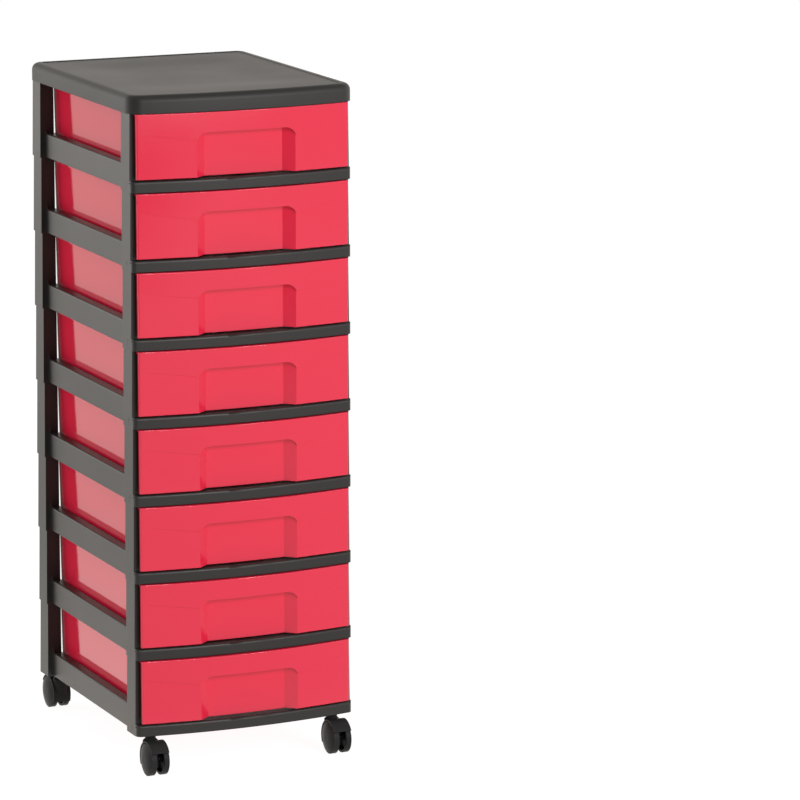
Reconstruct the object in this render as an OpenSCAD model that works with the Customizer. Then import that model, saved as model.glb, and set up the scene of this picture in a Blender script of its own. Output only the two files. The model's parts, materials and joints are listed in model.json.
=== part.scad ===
// Stacking drawer tower on four swivel casters.
// Origin: floor level, centre of the tower's bounding box. The drawers face -Y, +Z is up.

/* [Tower] */
// Number of stacked levels, each one frame and one drawer
levels = 8; // [2:1:10]
// Width across the ends of the front bars
tower_w = 300; // [270:1:360]
// Depth from the ends of the front bars to the back of the rear posts
frame_d = 362; // [300:1:400]
// Height of one level, from seam to seam
level_h = 100.5; // [92:0.5:140]
// How far the middle of a front bar stands in front of its ends
bow = 13.8; // [6:0.1:20]

/* [Frame] */
// Width of a corner post across the tower
post_w = 19.5; // [17:0.5:24]
// Depth of a corner post from front to back
post_d = 30; // [26:0.5:36]
// How far a front post stands behind the ends of its front bar
post_setback = 7.5; // [6:0.1:10]
// How much an outer post face leans in from its foot to its top
post_taper = 1.3; // [0.5:0.1:2]
// Height of the spigot on top of each post
spigot_h = 9; // [5:0.5:14]
// Height of the front bar's upper edge above the seam
bar_h = 15.5; // [13:0.5:17]
// Height of the front bar's lower edge above the seam
bar_lift = 0.5; // [0.5:0.5:4]
// Depth of the front bar's section
bar_d = 22; // [18:0.5:26]
// Radius along the upper front edge of the front bar
bar_edge_r = 3.5; // [1:0.5:5]
// Radius of the bar's upright corners
bar_corner_r = 6.5; // [2:0.5:7]
// Height of the side rail's outer face
rail_h = 31.5; // [24:0.5:36]
// Height of the side rail's lower edge above the seam
rail_lift = 1; // [0.5:0.5:4]
// How far the side rail's outer face lies inside the foot of the posts
rail_recess = 7; // [4:0.5:9]
// Radius in the corners between the side rail and the posts
rail_corner_r = 7; // [3:0.5:12]
// Reach of the drawer ledge past the posts, towards the middle
ledge_w = 14; // [8:0.5:18]
// Height of the ledge's upper face above the seam
ledge_z = 17.5; // [17:0.5:22]
// Height of the rear bar
rear_bar_h = 12; // [10:0.5:14]
// Wall of the frame mouldings
frame_wall = 2.4; // [1.8:0.1:3]

/* [Cover] */
// How far the cover overhangs the frames all round
cover_lip = 3; // [1.5:0.5:6]
// Height of the cover at its rim
cover_h = 23; // [21:0.5:40]
// Radius of the cover's upright corners
cover_corner_r = 17; // [8:0.5:20]
// Radius of the cover's upper edge
cover_edge_r = 9; // [3:0.5:10]
// Width of the flat rim round the dished top
rim_w = 5; // [3:0.5:12]
// Depth of the dished top
dish_depth = 3.5; // [1:0.5:6]
// Width of the dish's sloping side
dish_slope = 22; // [6:1:30]
// Height of the step inside the cover's rim
rim_step = 0.8; // [0.4:0.1:0.9]
// Wall of the cover
cover_wall = 2.6; // [2:0.1:3.2]

/* [Drawer body] */
// Gap between the drawer's rim and the posts on each side
side_gap = 0.7; // [0.4:0.1:1.5]
// Width of the drawer's outward rim
rim_flange = 1.6; // [1:0.1:4]
// Thickness of that rim
rim_t = 2; // [1.5:0.1:3]
// How far each wall leans in from the rim to the floor
draft = 1.5; // [1:0.1:5]
// Height of the drawer's body
body_h = 78; // [60:0.5:80]
// Distance from the drawer's back to the back of the rear posts
back_gap = 8; // [6:0.5:40]
// Radius of the body's rear corners at the rim
body_corner_r = 17; // [14:0.5:30]
// Wall and floor of the drawer
drawer_wall = 2.2; // [1.6:0.1:3]
// Bevel along the lower edge of the body
body_bevel = 3; // [2:0.5:5]
// Distance the stop lugs stand in front of the drawer's back
lug_inset = 45; // [30:1:70]
// Distance of each stop lug from the middle
lug_x = 60; // [40:1:80]

/* [Drawer front] */
// How far the front stands proud of the front bars
front_proud = 2.5; // [1:0.1:4]
// Distance from the front's upright edges to the ends of the bars
front_margin = 6; // [4:0.1:8]
// Gap between the bar below and the front's lower edge
front_lift = 2; // [1:0.1:4]
// Gap between the front's upper edge and the bar above
front_drop = 0.5; // [0.4:0.1:2]
// Wall of the front
front_wall = 2.5; // [2:0.1:3]
// Radius of the front's upright edges
front_edge_r = 2; // [1:0.1:2.4]
// Radius of the front's upper and lower edge
front_rim_r = 0.8; // [0.5:0.1:1.8]
// Depth of the front's upright side edges
side_return = 5; // [4:0.5:7]
// Width of the flange behind the front's upper edge
top_flange = 8; // [5:0.5:9]
// How far the middle of the brow overhangs the wings
brow_proud = 2.2; // [0.6:0.1:2.6]
// Distance from the front's upright edges to where the brow's edge fades out
brow_inset = 3; // [3:0.5:30]
// Depth of the brow's edge below the front's top, where it fades out
brow_wing = 25; // [18:0.5:30]
// Depth of the brow's edge at the pocket's outer corners
brow_dip = 35; // [28:0.5:42]
// Depth of the pocket's straight upper edge
brow_mid = 25.4; // [18:0.2:30]
// Half width of the finger pocket at the front face
pocket_half = 67; // [55:1:90]
// Half width of the pocket's floor
pocket_floor_half = 52; // [40:1:75]
// Depth of the finger pocket
pocket_d = 12; // [8:0.5:16]

/* [Caster] */
// Wheel diameter
wheel_dia = 42; // [35:1:45]
// Width of a wheel's tread
tread_w = 7; // [6:0.5:11]
// How far a wheel's domed cap stands out beyond its tread
wheel_bulge = 3; // [2:0.5:5]
// Gap between the two wheels
wheel_gap = 10; // [7:0.5:11]
// Distance from the stem to the axle
trail = 16; // [14:0.5:18]
// Height of the frame's underside above the floor
caster_h = 51; // [50:0.5:60]
// Distance from the stem to the tower's side
stem_inset_x = 23; // [22:0.5:34]
// Distance from the stem to the ends of the front bars, and to the back of the rear posts
stem_inset_y = 14; // [12:0.5:20]
// Stem diameter
stem_dia = 8; // [6:0.5:9]
// Axle diameter
axle_dia = 5; // [4:0.5:6]
// Wall of the caster's hood
hood_wall = 1.8; // [1.4:0.1:2.2]

/* [Fits] */
// Radial clearance of a shaft that turns in its hole
running = 0.05; // [0.02:0.01:0.1]
// Radial clearance of a shaft that stays in its hole
snug = 0.02; // [0.01:0.01:0.05]
// Gap between pieces that lie loosely together
loose = 0.3; // [0.2:0.05:0.4]

/* [Hidden] */
bow_fn = 480;
edge_fn = 48;
scoop_steps = 6;                              // facets of the pocket's curved upper corners
skin = 0.5;                                   // overlap that fuses two pieces of one moulding
far = 1000;                                   // reach of a cutting shape that passes everything

frame_colour = [0.25, 0.25, 0.25];
cover_colour = [0.29, 0.285, 0.28];
drawer_colour = [0.93, 0.25, 0.35];
caster_colour = [0.2, 0.2, 0.2];
steel_colour = [0.7, 0.7, 0.72];

half_w = tower_w / 2;
wheel_r = wheel_dia / 2;
stem_r = stem_dia / 2;
axle_r = axle_dia / 2;

// The bounding box runs between the casters, or to the cover where that reaches further.
hood_in_r = wheel_r + 0.9;
hood_r = hood_in_r + hood_wall;
hood_lip_rise = 12;                           // lower edge of the hood above the axle
caster_reach = trail - stem_inset_y + max(wheel_r, sqrt(hood_r * hood_r - hood_lip_rise * hood_lip_rise));
front_reach = max(bow + cover_lip, caster_reach);
rear_reach = max(cover_lip, caster_reach);
bar_end_y = (front_reach - frame_d - rear_reach) / 2;
frame_back_y = bar_end_y + frame_d;
post_front_y = bar_end_y + post_setback;
rear_post_y = frame_back_y - post_d;

// Every bowed face is an arc about one upright axis.
bow_r = (half_w * half_w + bow * bow) / (2 * bow);
bow_y = bar_end_y - bow + bow_r;
bow_reach = 23;                               // half angle of the bowed sweeps, in degrees
face_r = bow_r + front_proud;
function arc_y(r, x) = bow_y - sqrt(r * r - x * x);

// Levels
function seam_z(level) = caster_h + (level - 1) * level_h;
cover_z = seam_z(levels + 1);

// Posts
post_cavity_w = post_w - 2 * frame_wall - post_taper;
post_cavity_d = post_d - 2 * frame_wall - post_taper;
spigot_w = post_cavity_w - 2 * loose;
spigot_d = post_cavity_d - 2 * loose;

// Side rails, measured from the tower's side towards the middle
rail_top = rail_lift + rail_h;
guide_x = post_w - frame_wall;
ledge_x = post_w + ledge_w;

// Drawer body
rim_half = half_w - post_w - side_gap;
wall_half = rim_half - rim_flange;
corner_x = wall_half - body_corner_r;
body_back_y = frame_back_y - back_gap;
corner_y = body_back_y - rim_flange - body_corner_r;
body_z = ledge_z + loose;
foot_r = body_corner_r - draft;               // outer corner radius at the drawer's floor
lug_t = 3;
lug_w = 14;
lug_z = bar_h - 1.5;                          // the lugs reach below the top of the front bar

// Drawer front
front_half = half_w - front_margin;
front_z = bar_h + front_lift;
front_h = level_h - front_z - front_drop;
front_back_y = post_front_y - loose;

// The brow's arc meets the wings where its edge fades out and stands proud in the middle.
brow_half = front_half - brow_inset;
brow_apex_y = bow_y - face_r - brow_proud;
brow_sag = arc_y(face_r, brow_half) - brow_apex_y;
brow_r = (brow_half * brow_half + brow_sag * brow_sag) / (2 * brow_sag);
brow_y = brow_apex_y + brow_r;
brow_fade = 1;                                // the brow's ends are cut off where it is nearly flush

// Casters
wheel_w = tread_w + wheel_bulge;
hood_w = 2 * tread_w + wheel_gap;
cap_flat = 4;                                 // radius of the flat middle of a wheel's cap
cap_edge = 0.8;                               // ledge between the cap and the tread
tread_t = 3;
web_gap = 1.5;                                // between the web and each wheel
web_t = wheel_gap - 2 * web_gap;
collar_h = 2;
collar_r = stem_r + 2.5;
boss_r = stem_r + 3;
boss_top = caster_h - collar_h - loose;
socket_r = stem_r + 4;
socket_h = rear_bar_h;
bore_floor = wheel_r + sqrt(hood_in_r * hood_in_r - pow(trail - stem_r - running, 2)) + 1;
hood_lip_z = wheel_r + hood_lip_rise;
skirt_z = wheel_r / 2;                        // lower edge of the housing at the stem's side

CASTERS = ["front_left", "front_right", "rear_left", "rear_right"];
function caster_side(i) = i % 2 == 0 ? -1 : 1;
function caster_end(i) = i < 2 ? -1 : 1;
function stem_x(i) = caster_side(i) * (half_w - stem_inset_x);
function stem_y(i) = i < 2 ? bar_end_y + stem_inset_y : frame_back_y - stem_inset_y;

// ---------- shared shapes ----------

// Rectangle from (x0, y0) to (x1, y1) with round corners
module soft_rect(x0, y0, x1, y1, r) {
    translate([x0 + r, y0])
        square([x1 - x0 - 2 * r, y1 - y0]);
    translate([x0, y0 + r])
        square([x1 - x0, y1 - y0 - 2 * r]);
    for (x = [x0 + r, x1 - r])
        for (y = [y0 + r, y1 - r])
            translate([x, y])
                circle(r = r, $fn = edge_fn);
}

// Plan outline with a bowed front of radius r, upright sides and a straight back
module bow_plan(half, r, corner, back_y) {
    corner_centre = bow_y - sqrt(pow(r - corner, 2) - pow(half - corner, 2));
    intersection() {
        translate([0, bow_y])
            circle(r = r, $fn = bow_fn);
        translate([corner - half, bow_y - r - 1])
            square([2 * (half - corner), back_y - bow_y + r + 1]);
    }
    for (side = [-1, 1]) {
        translate([side * (half - corner), corner_centre])
            circle(r = corner, $fn = edge_fn);
        translate([side * (half - corner / 2) - corner / 2, corner_centre])
            square([corner, back_y - corner_centre]);
    }
}

// Sweeps a section (radius, height) along the bow
module bow_sweep() {
    translate([0, bow_y, 0])
        rotate([0, 0, -90 - bow_reach])
            rotate_extrude(angle = 2 * bow_reach, $fn = bow_fn)
                children();
}

// Extrudes an (x, z) outline from y0 to y1
module along_y(y0, y1) {
    translate([0, y1, 0])
        rotate([90, 0, 0])
            linear_extrude(height = y1 - y0)
                children();
}

// Extrudes a (y, z) outline from x0 to x1
module along_x(x0, x1) {
    translate([x0, 0, 0])
        rotate([90, 0, 90])
            linear_extrude(height = x1 - x0)
                children();
}

// Both sides of the tower, drawn once for the side at -X
module both_sides() {
    for (side = [0, 1])
        mirror([side, 0, 0])
            children();
}

// ---------- frames ----------

// One corner post: foot at the seam, outer faces leaning in, spigot on top
module post(y0, lean_back) {
    back_lean = lean_back ? post_taper : 0;
    intersection() {
        along_y(y0, y0 + post_d)
            polygon([[-half_w, 0], [post_w - half_w, 0],
                [post_w - half_w, level_h], [post_taper - half_w, level_h]]);
        along_x(-half_w, post_w - half_w)
            polygon([[y0, 0], [y0 + post_d, 0], [y0 + post_d - back_lean, level_h], [y0, level_h]]);
    }
    translate([post_taper + frame_wall + loose - half_w, y0 + frame_wall + loose, level_h - skin])
        cube([spigot_w, spigot_d, spigot_h + skin]);
}

// The post's hollow, open below, where the spigot of the frame below goes in
module post_cavity(y0) {
    translate([post_taper + frame_wall - half_w, y0 + frame_wall, -1])
        cube([post_cavity_w, post_cavity_d, level_h - frame_wall + 1]);
}

// Bowed front bar: a channel that is open below
module front_bar() {
    intersection() {
        bow_sweep()
            difference() {
                union() {
                    translate([bow_r - bar_d, bar_lift])
                        square([bar_d - bar_edge_r, bar_h - bar_lift]);
                    translate([bow_r - bar_edge_r - 1, bar_lift])
                        square([bar_edge_r + 1, bar_h - bar_lift - bar_edge_r]);
                    translate([bow_r - bar_edge_r, bar_h - bar_edge_r])
                        circle(r = bar_edge_r, $fn = edge_fn);
                }
                translate([bow_r - bar_d + frame_wall, -1])
                    square([bar_d - 2 * frame_wall - 1, bar_h - frame_wall + 1]);
            }
        linear_extrude(height = bar_h)
            bow_plan(half_w, bow_r, bar_corner_r, bar_end_y + post_setback + bar_d);
    }
    // solid ends that carry the bar on the posts
    both_sides()
        intersection() {
            linear_extrude(height = bar_h - bar_edge_r)
                bow_plan(half_w, bow_r, bar_corner_r, post_front_y + frame_wall);
            translate([-half_w, bow_y - bow_r, bar_lift])
                cube([post_w, bow_r, bar_h]);
        }
}

// Side rail with its drawer guide and ledge
module side_rail() {
    along_y(post_front_y + post_d - skin, rear_post_y + skin) {
        translate([rail_recess - half_w, rail_lift])
            square([frame_wall, rail_h - frame_wall]);
        translate([rail_recess + frame_wall - half_w, rail_top - frame_wall])
            square([post_w - rail_recess - frame_wall, frame_wall]);
        translate([rail_recess + frame_wall - half_w, rail_top - frame_wall])
            circle(r = frame_wall, $fn = edge_fn);
        translate([guide_x - half_w, ledge_z - frame_wall])
            square([frame_wall, rail_top - ledge_z]);
    }
    // the ledge runs on past the posts, from bar to bar
    along_y(bar_end_y + bar_d / 2, frame_back_y - frame_wall)
        translate([post_w - skin - half_w, ledge_z - frame_wall])
            square([ledge_w + skin, frame_wall]);
    // rounded corners where the rail meets the posts
    for (end = [0, 1]) {
        corner_y0 = end == 0 ? post_front_y + post_d : rear_post_y;
        toward = end == 0 ? 1 : -1;
        along_x(rail_recess - half_w, rail_recess + frame_wall - half_w)
            difference() {
                translate([corner_y0 + toward * (rail_corner_r / 2 - skin / 2), rail_top - skin])
                    translate([-(rail_corner_r + skin) / 2, 0])
                        square([rail_corner_r + skin, rail_corner_r + skin]);
                translate([corner_y0 + toward * rail_corner_r, rail_top + rail_corner_r])
                    circle(r = rail_corner_r, $fn = edge_fn);
            }
    }
}

// Places a child on the axis of a caster's stem, on the side at -X
module at_stem(end) {
    translate([stem_inset_x - half_w, end < 0 ? bar_end_y + stem_inset_y : frame_back_y - stem_inset_y, 0])
        children();
}

// Corner plate with the round socket for a caster's stem
module caster_socket(end) {
    plate_y0 = end < 0 ? bar_end_y + bar_d / 2 : rear_post_y - socket_r / 2;
    plate_y1 = end < 0 ? post_front_y + post_d + socket_r / 2 : frame_back_y - frame_wall / 2;
    translate([post_w - skin - half_w, plate_y0, 0])
        cube([stem_inset_x + socket_r - post_w + skin, plate_y1 - plate_y0, frame_wall]);
    at_stem(end)
        cylinder(r = socket_r, h = socket_h, $fn = edge_fn);
}

// One level of the frame, with its seam at z = 0
module frame_moulding() {
    difference() {
        union() {
            both_sides() {
                post(post_front_y, false);
                post(rear_post_y, true);
                side_rail();
                difference() {
                    union() {
                        caster_socket(-1);
                        caster_socket(1);
                    }
                    // the sockets stay inside the front bar
                    linear_extrude(height = 3 * bar_h, center = true)
                        difference() {
                            translate([-half_w, bow_y - bow_r - 1])
                                square([tower_w, bow_r]);
                            translate([0, bow_y])
                                circle(r = bow_r - frame_wall, $fn = bow_fn);
                        }
                }
            }
            front_bar();
            // rear bar: an angle with its foot turned forward
            along_x(post_w - skin - half_w, half_w - post_w + skin) {
                translate([frame_back_y - frame_wall, 0])
                    square([frame_wall, ledge_z]);
                translate([frame_back_y - rear_bar_h, 0])
                    square([rear_bar_h - frame_wall / 2, frame_wall]);
            }
        }
        both_sides() {
            post_cavity(post_front_y);
            post_cavity(rear_post_y);
            for (end = [-1, 1])
                at_stem(end)
                    translate([0, 0, -1])
                        cylinder(r = stem_r + snug, h = socket_h + 2, $fn = edge_fn);
        }
    }
}

module frame_unit(level) {
    color(frame_colour)
        translate([0, 0, seam_z(level)])
            frame_moulding();
}

// ---------- cover ----------

// Solid with sloping sides and round corners, from z = 0 up; the outline grows by slope
module flared_pan(x, y0, y1, corner, slope, h) {
    along_y(y0 + corner, y1 - corner)
        polygon([[-x, 0], [x, 0], [x + slope, h], [-x - slope, h]]);
    along_x(corner - x, x - corner)
        polygon([[y0, 0], [y1, 0], [y1 + slope, h], [y0 - slope, h]]);
    for (cx = [corner - x, x - corner])
        for (cy = [y0 + corner, y1 - corner])
            translate([cx, cy, 0])
                cylinder(r1 = corner, r2 = corner + slope, h = h, $fn = edge_fn);
}

// Block in the cover's corner that takes a post's spigot
module cover_socket(y0) {
    difference() {
        translate([post_taper - half_w, y0, 0])
            cube([post_w - post_taper, post_d - post_taper, cover_h - dish_depth - skin]);
        translate([post_taper + frame_wall - half_w, y0 + frame_wall, -1])
            cube([post_cavity_w, post_cavity_d, spigot_h + loose + 1]);
    }
}

module cover_shell() {
    x = half_w + cover_lip;
    r = bow_r + cover_lip;
    back = frame_back_y + cover_lip;
    e = cover_edge_r;
    difference() {
        intersection() {
            linear_extrude(height = cover_h)
                intersection() {
                    bow_plan(x, r, cover_corner_r, back + cover_corner_r);
                    soft_rect(-x, bow_y - r - far, x, back, cover_corner_r);
                }
            // rounded upper edge at the sides
            along_y(bow_y - r - 1, back + 1) {
                translate([-x, -1])
                    square([2 * x, cover_h - e + 1]);
                translate([e - x, -1])
                    square([2 * (x - e), cover_h + 1]);
                for (side = [-1, 1])
                    translate([side * (x - e), cover_h - e])
                        circle(r = e, $fn = edge_fn);
            }
            // rounded upper edge at the back
            along_x(-x - 1, x + 1) {
                translate([bow_y - r - 1, -1])
                    square([back - bow_y + r + 1, cover_h - e + 1]);
                translate([bow_y - r - 1, -1])
                    square([back - e - bow_y + r + 1, cover_h + 1]);
                translate([back - e, cover_h - e])
                    circle(r = e, $fn = edge_fn);
            }
            // rounded upper edge along the bowed front
            bow_sweep() {
                translate([bow_r - frame_d - 4 * cover_lip - bow, -1])
                    square([frame_d + 5 * cover_lip + bow, cover_h - e + 1]);
                translate([bow_r - frame_d - 4 * cover_lip - bow, -1])
                    square([frame_d + 5 * cover_lip + bow - e, cover_h + 1]);
                translate([r - e, cover_h - e])
                    circle(r = e, $fn = edge_fn);
            }
        }
        // dished top
        translate([0, 0, cover_h - dish_depth])
            flared_pan(x - e - rim_w - dish_slope, bar_end_y + e + rim_w + dish_slope - cover_lip,
                back - e - rim_w - dish_slope, cover_corner_r, dish_slope * (1 + 1 / dish_depth),
                dish_depth + 1);
        // step inside the rim
        translate([0, 0, cover_h - rim_step])
            linear_extrude(height = rim_step + 1)
                soft_rect(e + rim_w - 1 - x, bar_end_y + e + rim_w - 1 - cover_lip,
                    x - e - rim_w + 1, back - e - rim_w + 1, cover_corner_r);
        // hollow underside
        translate([0, 0, -1])
            linear_extrude(height = cover_h - dish_depth - cover_wall + 1)
                intersection() {
                    bow_plan(x - cover_wall, r - cover_wall, cover_corner_r - cover_wall, back);
                    soft_rect(cover_wall - x, bow_y - r - far, x - cover_wall, back - cover_wall,
                        cover_corner_r - cover_wall);
                }
    }
}

module top_cover() {
    color(cover_colour)
        translate([0, 0, cover_z]) {
            cover_shell();
            both_sides() {
                cover_socket(post_front_y);
                cover_socket(rear_post_y);
            }
        }
}

// ---------- drawers ----------

// Section of the body's wall: distance from the corner's centre, and height
module wall_section() {
    top = body_corner_r;
    polygon([
        [foot_r - body_bevel - skin, 0],
        [foot_r - body_bevel, 0],
        [foot_r, body_bevel],
        [top, body_h - rim_t],
        [top + rim_flange, body_h - rim_t],
        [top + rim_flange, body_h],
        [top - drawer_wall, body_h],
        [foot_r - drawer_wall, body_bevel + drawer_wall / 2],
        [foot_r - body_bevel - skin, drawer_wall]
    ]);
}

// Side walls, round rear corners and back wall, swept from one section
module body_walls() {
    front = bow_y - face_r;
    for (side = [-1, 1])
        translate([side * corner_x, corner_y, 0])
            rotate([0, 0, side > 0 ? 0 : 90])
                rotate_extrude(angle = 90, $fn = 2 * edge_fn)
                    wall_section();
    both_sides()
        translate([corner_x, 0, 0])
            along_y(front, corner_y)
                wall_section();
    translate([0, corner_y, 0])
        along_x(-corner_x, corner_x)
            wall_section();
}

module body_floor() {
    r = foot_r - body_bevel;
    linear_extrude(height = drawer_wall) {
        translate([-corner_x - r, bow_y - face_r])
            square([2 * (corner_x + r), corner_y - bow_y + face_r]);
        translate([-corner_x, bow_y - face_r])
            square([2 * corner_x, corner_y + r - bow_y + face_r]);
        for (side = [-1, 1])
            translate([side * corner_x, corner_y])
                circle(r = r, $fn = 2 * edge_fn);
    }
}

// Everything below the brow's edge, seen from the front; z = 0 is the front's lower edge
module below_brow(lift) {
    wing = front_h - brow_wing + lift;
    mid = front_h - brow_mid + lift;
    scoop = pocket_half - pocket_floor_half;
    rise = brow_dip - brow_mid;
    scoop_r = (scoop * scoop + rise * rise) / (2 * rise);
    scoop_turn = asin(scoop / scoop_r);
    // the pocket's upper corners curve up to its straight edge
    right = [for (i = [0 : scoop_steps])
        let (turn = scoop_turn * (1 - i / scoop_steps))
            [pocket_floor_half + scoop_r * sin(turn), mid - scoop_r * (1 - cos(turn))]];
    left = [for (i = [scoop_steps : -1 : 0]) [-right[i][0], right[i][1]]];
    along_y(bow_y - face_r - far, bow_y)
        polygon(concat(
            [[-front_half - 1, -far], [front_half + 1, -far], [front_half + 1, wing], [brow_half, wing]],
            right, left,
            [[-brow_half, wing], [-front_half - 1, wing]]
        ));
}

// Room for the fingers, grown by g for the wall round it
module pocket_space(g) {
    spread = (pocket_half - pocket_floor_half) / pocket_d;
    front_x = pocket_half + spread * pocket_d + g * sqrt(1 + spread * spread);
    deep_x = pocket_floor_half - spread * pocket_d + g * sqrt(1 + spread * spread);
    face = arc_y(face_r, pocket_half);
    intersection() {
        translate([0, 0, -far])
            linear_extrude(height = 2 * far)
                difference() {
                    polygon([
                        [-front_x, face - pocket_d], [front_x, face - pocket_d],
                        [deep_x, face + 2 * pocket_d], [-deep_x, face + 2 * pocket_d]
                    ]);
                    translate([0, bow_y])
                        circle(r = face_r - pocket_d - g, $fn = bow_fn);
                }
        below_brow(g);
    }
}

// Section of a skin that is t thick, with its outer face at radius r and round outer edges
module skin_section(r, t) {
    translate([r - t, 0])
        square([t - front_rim_r, front_h]);
    translate([r - t, front_rim_r])
        square([t, front_h - 2 * front_rim_r]);
    for (z = [front_rim_r, front_h - front_rim_r])
        translate([r - front_rim_r, z])
            circle(r = front_rim_r, $fn = edge_fn);
}

// The brow stands out from the front's skin and ends above the wings and the pocket
module brow() {
    reach = brow_half - brow_fade;
    difference() {
        intersection() {
            translate([0, brow_y, 0])
                rotate([0, 0, -90 - bow_reach])
                    rotate_extrude(angle = 2 * bow_reach, $fn = bow_fn)
                        skin_section(brow_r, brow_proud + 2 * skin);
            translate([-reach, bow_y - face_r - brow_proud - 1, -1])
                cube([2 * reach, bow + brow_proud + 2, front_h + 2]);
        }
        translate([0, bow_y, -1])
            cylinder(r = face_r - front_wall / 2, h = front_h + 2, $fn = bow_fn);
        below_brow(0);
    }
}

// Bowed front with short side edges and a top flange
module front_shell() {
    inner_half = front_half - front_wall;
    difference() {
        intersection() {
            linear_extrude(height = front_h)
                bow_plan(front_half, face_r, front_edge_r, front_back_y);
            bow_sweep()
                skin_section(face_r, 2 * (bow + front_proud + post_setback));
        }
        translate([0, 0, -1])
            linear_extrude(height = front_h - front_wall + 1)
                intersection() {
                    translate([0, bow_y])
                        circle(r = face_r - front_wall, $fn = bow_fn);
                    translate([-inner_half, bow_y - face_r])
                        square([2 * inner_half, face_r]);
                }
        translate([0, bow_y, -1])
            cylinder(r = face_r - side_return, h = front_h - front_wall + 1, $fn = bow_fn);
        translate([0, bow_y, front_h - 2 * front_wall])
            cylinder(r = face_r - top_flange, h = 3 * front_wall, $fn = bow_fn);
    }
    brow();
}

module drawer_moulding() {
    difference() {
        union() {
            translate([0, 0, front_z])
                front_shell();
            // body, trimmed to the inside of the bowed front
            intersection() {
                translate([0, 0, body_z]) {
                    body_walls();
                    body_floor();
                }
                translate([0, bow_y, 0])
                    cylinder(r = face_r - front_wall / 2, h = level_h, $fn = bow_fn);
            }
            // wall round the finger pocket
            intersection() {
                translate([0, 0, front_z])
                    pocket_space(front_wall);
                translate([0, bow_y, body_z])
                    cylinder(r = face_r - front_wall / 2, h = level_h, $fn = bow_fn);
            }
            // lugs that meet the front bar when the drawer is drawn out
            both_sides()
                translate([-lug_x - lug_w / 2, body_back_y - lug_inset, lug_z])
                    cube([lug_w, lug_t, body_z - lug_z + drawer_wall / 2]);
        }
        translate([0, 0, front_z])
            pocket_space(0);
    }
}

module drawer_unit(level) {
    color(drawer_colour)
        translate([0, 0, seam_z(level)])
            drawer_moulding();
}

// ---------- casters ----------

// Places a caster's piece: local +Y is the way the wheels trail, z = 0 is the floor
module at_caster(i) {
    translate([stem_x(i), stem_y(i), 0])
        rotate([0, 0, caster_end(i) < 0 ? 180 : 0])
            children();
}

// Steel pin: its collar lies against the frame's underside, the housing turns round its foot
module stem(i) {
    color(steel_colour)
        at_caster(i) {
            translate([0, 0, bore_floor + loose])
                cylinder(r = stem_r, h = caster_h + socket_h - bore_floor - loose, $fn = edge_fn);
            translate([0, 0, caster_h - collar_h])
                cylinder(r = collar_r, h = collar_h, $fn = edge_fn);
        }
}

// Twin-wheel housing: hood, web between the wheels and the boss round the stem
module housing(i) {
    color(caster_colour)
        at_caster(i)
            difference() {
                union() {
                    // hood over the treads, open below its lip
                    along_x(-hood_w / 2, hood_w / 2)
                        difference() {
                            translate([trail, wheel_r])
                                circle(r = hood_r, $fn = 2 * edge_fn);
                            translate([trail, wheel_r])
                                circle(r = hood_in_r, $fn = 2 * edge_fn);
                            translate([trail, -wheel_r])
                                square([2 * hood_r, hood_lip_z + wheel_r]);
                            translate([trail - 2 * hood_r, -wheel_r])
                                square([4 * hood_r, skirt_z + wheel_r]);
                        }
                    // web
                    along_x(-web_t / 2, web_t / 2)
                        intersection() {
                            translate([trail, wheel_r])
                                circle(r = hood_r - hood_wall / 2, $fn = 2 * edge_fn);
                            translate([trail - 2 * hood_r, skirt_z])
                                square([2 * hood_r + 2 * axle_r, 2 * hood_r]);
                        }
                    // boss for the stem
                    difference() {
                        union() {
                            translate([0, 0, wheel_r])
                                cylinder(r = boss_r, h = boss_top - wheel_r, $fn = edge_fn);
                            translate([0, 0, boss_top - 2 * collar_h - 3])
                                cylinder(r1 = boss_r + 3, r2 = boss_r, h = 3, $fn = edge_fn);
                            translate([0, 0, wheel_r])
                                cylinder(r = boss_r + 3, h = boss_top - 2 * collar_h - 3 - wheel_r,
                                    $fn = edge_fn);
                        }
                        along_x(-hood_w, hood_w)
                            translate([trail, wheel_r])
                                circle(r = hood_in_r, $fn = 2 * edge_fn);
                    }
                }
                translate([0, 0, bore_floor])
                    cylinder(r = stem_r + running, h = caster_h, $fn = edge_fn);
                translate([-hood_w, trail, wheel_r])
                    rotate([0, 90, 0])
                        cylinder(r = axle_r + snug, h = 2 * hood_w, $fn = edge_fn);
            }
}

axle_reach = wheel_gap / 2 + tread_w + wheel_bulge / 2 - loose;   // half of the axle's length

module axle(i) {
    color(steel_colour)
        at_caster(i)
            translate([-axle_reach, trail, wheel_r])
                rotate([0, 90, 0])
                    cylinder(r = axle_r, h = 2 * axle_reach, $fn = edge_fn);
}

// Half section of a wheel: radius, and distance from its inner face
module wheel_section() {
    cap_run = wheel_r - cap_edge - cap_flat;
    cap_r = (cap_run * cap_run + wheel_bulge * wheel_bulge) / (2 * wheel_bulge);
    difference() {
        union() {
            square([wheel_r, tread_w]);
            square([cap_flat, wheel_w]);
            // domed cap
            intersection() {
                translate([cap_flat, wheel_w - cap_r])
                    circle(r = cap_r, $fn = 4 * edge_fn);
                translate([cap_flat - 1, tread_w - 1])
                    square([wheel_r - cap_flat, wheel_bulge + 2]);
            }
        }
        // hollow between hub and tread, open towards the web
        translate([2 * axle_r, -1])
            square([wheel_r - tread_t - 2 * axle_r, tread_w - 1]);
        // bore for the axle
        translate([-1, -1])
            square([axle_r + running + 1, axle_reach + loose - wheel_gap / 2 + 1]);
        // everything past the turning axis
        translate([-far, -far / 2])
            square([far, far]);
    }
}

module wheel(i, side) {
    color(caster_colour)
        at_caster(i)
            translate([side * wheel_gap / 2, trail, wheel_r])
                rotate([0, side * 90, 0])
                    rotate_extrude($fn = 3 * edge_fn)
                        wheel_section();
}

// ---------- assembly ----------

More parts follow.
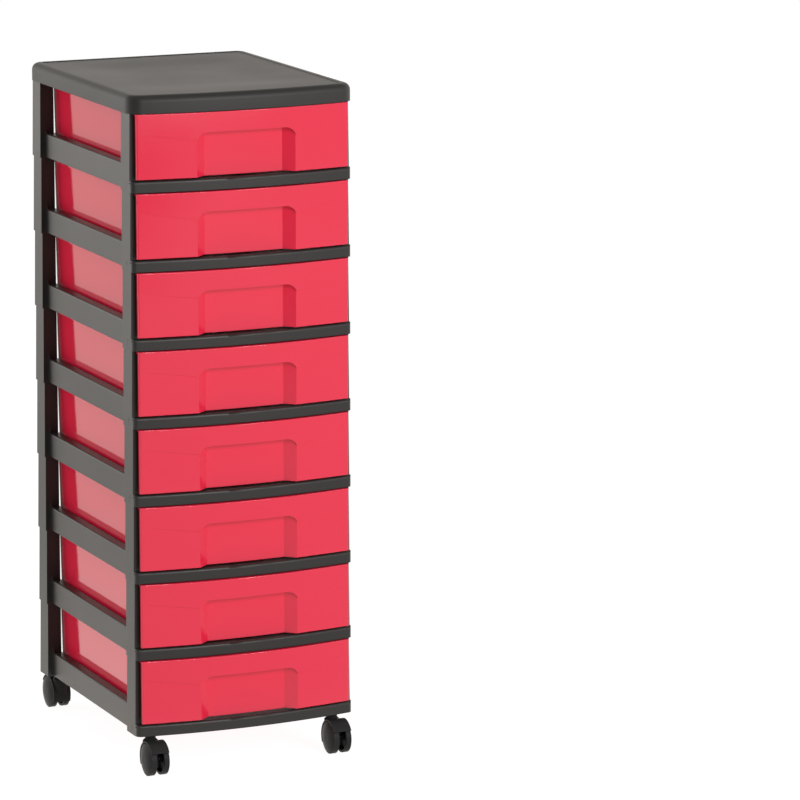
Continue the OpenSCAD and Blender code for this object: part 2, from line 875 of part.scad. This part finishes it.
top_cover();
for (level = [1 : levels]) {
    frame_unit(level);
    drawer_unit(level);
}
for (i = [0 : 3]) {
    stem(i);
    housing(i);
    axle(i);
    wheel(i, -1);
    wheel(i, 1);
}
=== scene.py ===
import json

import bmesh
import bpy
from mathutils import Matrix, Vector


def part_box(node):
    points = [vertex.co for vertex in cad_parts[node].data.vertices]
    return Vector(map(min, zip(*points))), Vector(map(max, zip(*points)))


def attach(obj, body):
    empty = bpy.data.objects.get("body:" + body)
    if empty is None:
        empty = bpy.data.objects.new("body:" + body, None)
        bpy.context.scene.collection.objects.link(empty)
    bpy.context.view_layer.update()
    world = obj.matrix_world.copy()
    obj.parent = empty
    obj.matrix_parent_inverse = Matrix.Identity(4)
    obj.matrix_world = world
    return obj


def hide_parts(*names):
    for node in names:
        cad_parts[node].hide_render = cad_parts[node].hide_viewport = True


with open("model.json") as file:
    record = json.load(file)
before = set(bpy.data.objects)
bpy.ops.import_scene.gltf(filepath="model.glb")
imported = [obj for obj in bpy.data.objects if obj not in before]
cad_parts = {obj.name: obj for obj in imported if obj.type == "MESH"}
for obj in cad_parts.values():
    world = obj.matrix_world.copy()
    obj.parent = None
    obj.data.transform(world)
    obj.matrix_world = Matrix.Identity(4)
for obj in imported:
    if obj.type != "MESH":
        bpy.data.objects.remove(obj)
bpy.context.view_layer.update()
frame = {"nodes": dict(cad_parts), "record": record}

nodes = frame["nodes"]
bpy.ops.object.select_all(action="DESELECT")


# ---------- node shorthand ----------

# Where a Mix node keeps its colour sockets.
MIX_FACTOR = 0
MIX_FIRST = 6
MIX_SECOND = 7
MIX_RESULT = 2


class Sock:
    """A socket that takes part in sums: each operator adds one Math node."""

    def __init__(self, tree, out):
        self.tree = tree
        self.out = out

    def _sum(self, operation, first, second):
        node = self.tree.nodes.new("ShaderNodeMath")
        node.operation = operation
        for slot, value in zip(node.inputs, (first, second)):
            plug(self.tree, slot, value)
        return Sock(self.tree, node.outputs[0])

    def __add__(self, other):
        return self._sum("ADD", self, other)

    def __sub__(self, other):
        return self._sum("SUBTRACT", self, other)

    def __rsub__(self, other):
        return self._sum("SUBTRACT", other, self)

    def __mul__(self, other):
        return self._sum("MULTIPLY", self, other)

    def __truediv__(self, other):
        return self._sum("DIVIDE", self, other)

    __radd__ = __add__
    __rmul__ = __mul__

    def clamp(self):
        return add_node(self.tree, "ShaderNodeClamp", Value=self)

    def rise(self, start, end):
        """0 up to start, 1 from end on, and straight between."""
        return ((self - start) / (end - start)).clamp()


def plug(tree, slot, value):
    """Links a socket, or writes a plain value into it."""
    if isinstance(value, Sock):
        tree.links.new(value.out, slot)
    else:
        slot.default_value = value


def add_node(tree, kind, settings=None, output=0, **inputs):
    """Adds a node: settings first, then each input by its name, with _ for a space."""
    node = tree.nodes.new(kind)
    for key, value in (settings or {}).items():
        setattr(node, key, value)
    for key, value in inputs.items():
        plug(tree, node.inputs[key.replace("_", " ")], value)
    return Sock(tree, node.outputs[output])


def mix_colour(tree, factor, first, second):
    """The first colour where factor is 0, the second where it is 1."""
    node = tree.nodes.new("ShaderNodeMix")
    node.data_type = "RGBA"
    plug(tree, node.inputs[MIX_FACTOR], factor)
    plug(tree, node.inputs[MIX_FIRST], (*first, 1.0))
    plug(tree, node.inputs[MIX_SECOND], (*second, 1.0))
    return Sock(tree, node.outputs[MIX_RESULT])


def along(tree, place, way):
    """How far a point lies along a direction."""
    node = tree.nodes.new("ShaderNodeVectorMath")
    node.operation = "DOT_PRODUCT"
    plug(tree, node.inputs[0], place)
    plug(tree, node.inputs[1], way)
    return Sock(tree, node.outputs["Value"])


# ---------- finishes ----------

# All plastics: slow drift of colour and gloss, and a fine moulded grain.
DRIFT_SCALE = 9.0
DRIFT_GLOSS = 0.08
GRAIN_GLOSS = 0.05
GRAIN_HEIGHT = 0.0002
NOISE_MIDDLE = 0.5
EDGE_SAMPLES = 6

# Zinc plating: a fine mottle between two greys.
ZINC_SCALE = 900.0
ZINC_DARK = (0.58, 0.58, 0.6)
ZINC_LIGHT = (0.72, 0.72, 0.74)
ZINC_ROUGH = 0.22
ZINC_SPREAD = 0.14


def new_finish(name):
    """A material, its node tree, its shader and the place on the piece."""
    paint = bpy.data.materials.new(name)
    paint.use_nodes = True
    tree = paint.node_tree
    place = add_node(tree, "ShaderNodeTexCoord", output="Object")
    return paint, tree, tree.nodes["Principled BSDF"], place


def moulded(name, colour, shade, rough, grain_scale, grain_depth, edge, ior=1.5, level=0.5):
    """Injection-moulded plastic: colour drifts to shade, fine grain, rounded edges."""
    paint, tree, skin, place = new_finish(name)
    drift = add_node(
        tree, "ShaderNodeTexNoise", Vector=place, Scale=DRIFT_SCALE, Detail=3.0, Roughness=0.5
    )
    grain = add_node(tree, "ShaderNodeTexNoise", Vector=place, Scale=grain_scale, Detail=2.0)
    gloss = rough + (drift - NOISE_MIDDLE) * DRIFT_GLOSS + (grain - NOISE_MIDDLE) * GRAIN_GLOSS
    plug(tree, skin.inputs["Base Color"], mix_colour(tree, drift, colour, shade))
    plug(tree, skin.inputs["Roughness"], gloss.clamp())
    skin.inputs["IOR"].default_value = ior
    skin.inputs["Specular IOR Level"].default_value = level
    rounded = add_node(tree, "ShaderNodeBevel", {"samples": EDGE_SAMPLES}, Radius=edge)
    relief = add_node(
        tree,
        "ShaderNodeBump",
        Strength=grain_depth,
        Distance=GRAIN_HEIGHT,
        Height=grain,
        Normal=rounded,
    )
    plug(tree, skin.inputs["Normal"], relief)
    return paint


def zinced(name):
    """Plated steel for the caster stems and axles."""
    paint, tree, skin, place = new_finish(name)
    mottle = add_node(tree, "ShaderNodeTexNoise", Vector=place, Scale=ZINC_SCALE, Detail=2.0)
    plug(tree, skin.inputs["Base Color"], mix_colour(tree, mottle, ZINC_DARK, ZINC_LIGHT))
    plug(tree, skin.inputs["Roughness"], ZINC_ROUGH + mottle * ZINC_SPREAD)
    skin.inputs["Metallic"].default_value = 1.0
    return paint


finishes = {
    "drawer_plastic": moulded(
        "coral_plastic",
        colour=(0.86, 0.022, 0.066),
        shade=(0.83, 0.02, 0.06),
        rough=0.07,
        grain_scale=700.0,
        grain_depth=0.08,
        edge=0.0004,
        ior=1.52,
    ),
    "frame_plastic": moulded(
        "charcoal_plastic",
        colour=(0.029, 0.0262, 0.0235),
        shade=(0.0245, 0.0222, 0.02),
        rough=0.36,
        grain_scale=1500.0,
        grain_depth=0.35,
        edge=0.0008,
        level=0.28,
    ),
    "cover_plastic": moulded(
        "charcoal_cover",
        colour=(0.0225, 0.0212, 0.0195),
        shade=(0.0185, 0.0174, 0.016),
        rough=0.5,
        grain_scale=1500.0,
        grain_depth=0.4,
        edge=0.0008,
        level=0.3,
    ),
    "caster_plastic": moulded(
        "black_nylon",
        colour=(0.031, 0.03, 0.031),
        shade=(0.026, 0.0255, 0.0262),
        rough=0.38,
        grain_scale=1800.0,
        grain_depth=0.25,
        edge=0.0005,
        level=0.04,
    ),
    "caster_steel": zinced("zinced_steel"),
}
for entry in frame["record"]["subparts"]:
    node = nodes[entry["node"]]
    node.data.materials.clear()
    node.data.materials.append(finishes[entry["material_slot"]])


# ---------- cover ----------

# The cover's own sizes in metres, as in the CAD source.
WALL = 0.0026
HOLLOW = 0.0169
BOW_RADIUS = 0.8251
CORNER_RADIUS = 0.017
EDGE_RADIUS = 0.009
RIM = 0.0042
RIM_STEP = 0.0008

# The dish: its depth, half of its level middle in x and y, and the slope around that.
DISH_DEPTH = 0.0027
DISH_FLAT = (0.062, 0.082)
DISH_SLOPE = 0.076

# The mesh: cuts in x and y on each side of the middle, one cell apart, and the roundings.
CELL = 0.01
CUTS_X = 12
CUTS_Y = 16
CORNER_STEPS = 10
EDGE_STEPS = 8
SMOOTH_ANGLE = 0.6

# Points closer than this count as being in the same place.
HAIR = 0.0001


def choose(shape, kind, wanted):
    """Selects the faces or edges whose corners pass, and nothing else."""
    bpy.ops.mesh.select_all(action="DESELECT")
    net = bmesh.from_edit_mesh(shape.data)
    for part in getattr(net, kind):
        if wanted([corner.co for corner in part.verts]):
            part.select_set(True)
    bmesh.update_edit_mesh(shape.data)


def flat_at(height):
    """Passes what lies level at a height."""
    return lambda corners: all(abs(point.z - height) < HAIR for point in corners)


def cut_grid():
    """Cuts the shape into cells that stay clear of its upright corners."""
    bpy.ops.mesh.select_mode(type="FACE")
    for across, cuts in ((Vector((1.0, 0.0, 0.0)), CUTS_X), (Vector((0.0, 1.0, 0.0)), CUTS_Y)):
        for step in range(-cuts, cuts + 1):
            bpy.ops.mesh.select_all(action="SELECT")
            bpy.ops.mesh.bisect(plane_co=across * step * CELL, plane_no=across)


def bow_front(cover, front, half_width):
    """Draws the front's upright edges back onto an arc, pair by pair."""
    bpy.ops.mesh.select_mode(type="EDGE")
    for reach in [step * CELL for step in range(1, CUTS_X + 1)] + [half_width]:
        choose(
            cover,
            "edges",
            lambda corners: all(
                abs(abs(point.x) - reach) < HAIR and abs(point.y - front) < HAIR for point in corners
            ),
        )
        drop = BOW_RADIUS - (BOW_RADIUS**2 - reach**2) ** 0.5
        bpy.ops.transform.translate(value=(0.0, drop, 0.0))


def round_edges(cover, top, half_width):
    """Rounds the four upright corners, then the upper edge all round."""

    def at_corner(corners):
        upright = abs(corners[0].z - corners[1].z) > HAIR
        outermost = half_width - abs(corners[0].x) < HAIR
        past_cuts = abs(corners[0].y) > CUTS_Y * CELL + HAIR
        return upright and outermost and past_cuts

    choose(cover, "edges", at_corner)
    bpy.ops.mesh.bevel(offset=CORNER_RADIUS, segments=CORNER_STEPS, affect="EDGES")
    bpy.ops.mesh.select_mode(type="FACE")
    choose(cover, "faces", flat_at(top))
    bpy.ops.mesh.region_to_loop()
    bpy.ops.mesh.bevel(offset=EDGE_RADIUS, segments=EDGE_STEPS, affect="EDGES")


def sink_dish(cover, top):
    """Leaves a rim with a small step inside it, and lowers the middle softly."""
    bpy.ops.mesh.select_mode(type="FACE")
    choose(cover, "faces", flat_at(top))
    bpy.ops.mesh.inset(thickness=RIM, depth=0.0)
    bpy.ops.mesh.inset(thickness=RIM_STEP, depth=-RIM_STEP)
    choose(
        cover,
        "faces",
        lambda corners: all(
            abs(point.x) < DISH_FLAT[0] and abs(point.y) < DISH_FLAT[1] and point.z > top - EDGE_RADIUS
            for point in corners
        ),
    )
    bpy.ops.transform.translate(
        value=(0.0, 0.0, -DISH_DEPTH),
        use_proportional_edit=True,
        proportional_edit_falloff="SMOOTH",
        proportional_size=DISH_SLOPE,
        use_proportional_connected=True,
    )


def hollow_out(cover, underside):
    """Leaves a wall all round the underside and hollows what is inside it."""
    choose(cover, "faces", flat_at(underside))
    bpy.ops.mesh.inset(thickness=WALL, depth=0.0)
    bpy.ops.mesh.extrude_region_move(TRANSFORM_OT_translate={"value": (0.0, 0.0, HOLLOW)})
    bpy.ops.mesh.select_all(action="SELECT")
    bpy.ops.mesh.normals_make_consistent(inside=False)


def moulded_cover():
    """The cover with ball-shaped corners and a softly dished top, hollow below."""
    low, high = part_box("top_cover")
    size = high - low
    bpy.ops.mesh.primitive_cube_add(size=1.0, location=(high + low) / 2)
    cover = bpy.context.active_object
    cover.name = "dished_cover"
    cover.scale = size
    bpy.ops.object.transform_apply(location=True, rotation=True, scale=True)
    bpy.ops.object.mode_set(mode="EDIT")
    cut_grid()
    bow_front(cover, low.y, size.x / 2)
    round_edges(cover, high.z, size.x / 2)
    sink_dish(cover, high.z)
    hollow_out(cover, low.z)
    bpy.ops.object.mode_set(mode="OBJECT")
    bpy.ops.object.shade_smooth_by_angle(angle=SMOOTH_ANGLE)
    cover.data.materials.append(finishes["cover_plastic"])
    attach(cover, "tower")
    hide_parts("top_cover")
    cover.select_set(False)


moulded_cover()


# ---------- camera ----------

# A pinhole camera fitted to the edges of the tower in the photo: its lens in millimetres,
# where it stands in metres, and the unit vectors to its right, up and ahead.
FOCAL_LENGTH = 210.17
SENSOR_WIDTH = 36.0
FAR_CLIP = 60.0
STAND = (-2.2199, -5.5737, 1.6752)
RIGHT = (0.911252, -0.411849, 0.000609)
UPWARD = (0.082209, 0.183342, 0.979606)
AHEAD = (0.403562, 0.892617, -0.200928)

lens = bpy.data.cameras.new("photo_camera")
lens.lens = FOCAL_LENGTH
lens.sensor_width = SENSOR_WIDTH
lens.clip_end = FAR_CLIP
camera = bpy.data.objects.new("photo_camera", lens)
bpy.context.scene.collection.objects.link(camera)
camera.matrix_world = Matrix(
    [(RIGHT[i], UPWARD[i], -AHEAD[i], STAND[i]) for i in range(3)] + [(0.0, 0.0, 0.0, 1.0)]
)
bpy.context.scene.camera = camera


# ---------- studio ----------

WHITE = (1.0, 1.0, 1.0)
WARM = (1.0, 0.95, 0.89)
ZENITH = (0.0, 0.0, 1.0)
REAR = (0.0, 1.0, 0.0)
DARK_END = (-0.784, -0.589, 0.0)

# The world's strength: as light, as the backdrop, and as gloss mirrors it from the
# horizon to the zenith. The room's dark end takes a share of the gloss away.
SKY_LIGHT = 0.4
SKY_SEEN = 1.0
HORIZON_GLOSS = 1.75
ZENITH_GLOSS = 0.6
SKY_DARKENING = 0.85

# The floor's strength in the same three ways. Gloss mirrors it brighter behind the
# tower, most of all near it, and darker towards the dark end.
FLOOR_LIGHT = 0.44
FLOOR_SEEN = 0.94
FLOOR_GLOSS = 0.73
FLOOR_REAR_GLOSS = 0.24
FLOOR_NEAR_GLOSS = 0.5
FLOOR_DARKENING = 0.6
FLOOR_SIDE = 12.0
FLOOR_COLOUR = (0.2, 0.2, 0.2, 1.0)
FLOOR_ROUGH = 0.9

# Where each change starts and ends: cosines in the sky, metres on the floor.
SKY_HEIGHT = (0.0, 0.7692)
SKY_DARK = (0.6, 0.8)
SKY_REAR = (-0.25, 0.25)
FLOOR_REAR = (-0.5, 0.0)
FLOOR_NEAR = (0.0, 1.25)
FLOOR_DARK = (2.0, 3.3)


def studio_glow(tree, rear, light, seen, gloss):
    """Colour and strength of a glow: as light, to the camera, and where gloss mirrors it."""
    to_camera = add_node(tree, "ShaderNodeLightPath", output="Is Camera Ray")
    to_gloss = add_node(tree, "ShaderNodeLightPath", output="Is Glossy Ray")
    colour = mix_colour(tree, to_gloss * rear, WHITE, WARM)
    return colour, light + to_camera * (seen - light) + to_gloss * (gloss - light)


def white_world():
    """A white backdrop whose reflections are brightest at the horizon."""
    world = bpy.data.worlds.new("white_studio")
    world.use_nodes = True
    sky = world.node_tree
    way = add_node(sky, "ShaderNodeTexCoord", output="Generated")
    height = along(sky, way, ZENITH).rise(*SKY_HEIGHT)
    dark = along(sky, way, DARK_END).rise(*SKY_DARK)
    rear = along(sky, way, REAR).rise(*SKY_REAR)
    gloss = (HORIZON_GLOSS - height * (HORIZON_GLOSS - ZENITH_GLOSS)) * (1.0 - dark * SKY_DARKENING)
    colour, strength = studio_glow(sky, rear, SKY_LIGHT, SKY_SEEN, gloss)
    plug(sky, sky.nodes["Background"].inputs["Color"], colour)
    plug(sky, sky.nodes["Background"].inputs["Strength"], strength)
    return world


def white_floor():
    """A dull floor with a glow of its own, so that it stays pale and keeps the shadow."""
    bpy.ops.mesh.primitive_plane_add(size=FLOOR_SIDE, location=(0.0, 0.0, 0.0))
    floor = bpy.context.active_object
    floor.name = "studio_floor"
    paint, tree, skin, place = new_finish("white_floor")
    skin.inputs["Base Color"].default_value = FLOOR_COLOUR
    skin.inputs["Roughness"].default_value = FLOOR_ROUGH
    skin.inputs["Specular IOR Level"].default_value = 0.0
    rear = along(tree, place, REAR).rise(*FLOOR_REAR)
    near = 1.0 - along(tree, place, REAR).rise(*FLOOR_NEAR)
    dark = along(tree, place, DARK_END).rise(*FLOOR_DARK)
    gloss = FLOOR_GLOSS + rear * (FLOOR_REAR_GLOSS + near * FLOOR_NEAR_GLOSS) - dark * FLOOR_DARKENING
    colour, strength = studio_glow(tree, rear, FLOOR_LIGHT, FLOOR_SEEN, gloss)
    glow = add_node(tree, "ShaderNodeEmission", Color=colour, Strength=strength)
    joined = tree.nodes.new("ShaderNodeAddShader")
    tree.links.new(skin.outputs[0], joined.inputs[0])
    tree.links.new(glow.out, joined.inputs[1])
    tree.links.new(joined.outputs[0], tree.nodes["Material Output"].inputs["Surface"])
    floor.data.materials.append(paint)


def softbox(name, at, target, size, watts):
    """A square light of the given size in metres, aimed at a point."""
    lamp = bpy.data.lights.new(name, "AREA")
    lamp.shape = "SQUARE"
    lamp.size = size
    lamp.energy = watts
    box = bpy.data.objects.new(name, lamp)
    bpy.context.scene.collection.objects.link(box)
    box.location = at
    box.rotation_euler = (Vector(target) - Vector(at)).to_track_quat("-Z", "Y").to_euler()


bpy.context.scene.view_settings.view_transform = "Standard"
bpy.context.scene.world = white_world()
white_floor()
softbox("key_softbox", at=(1.4, -5.0, 2.2), target=(0.0, 0.0, 0.45), size=2.2, watts=158.0)
softbox("left_card", at=(-1.9, 1.5, 1.0), target=(0.0, 0.0, 0.5), size=2.0, watts=21.0)
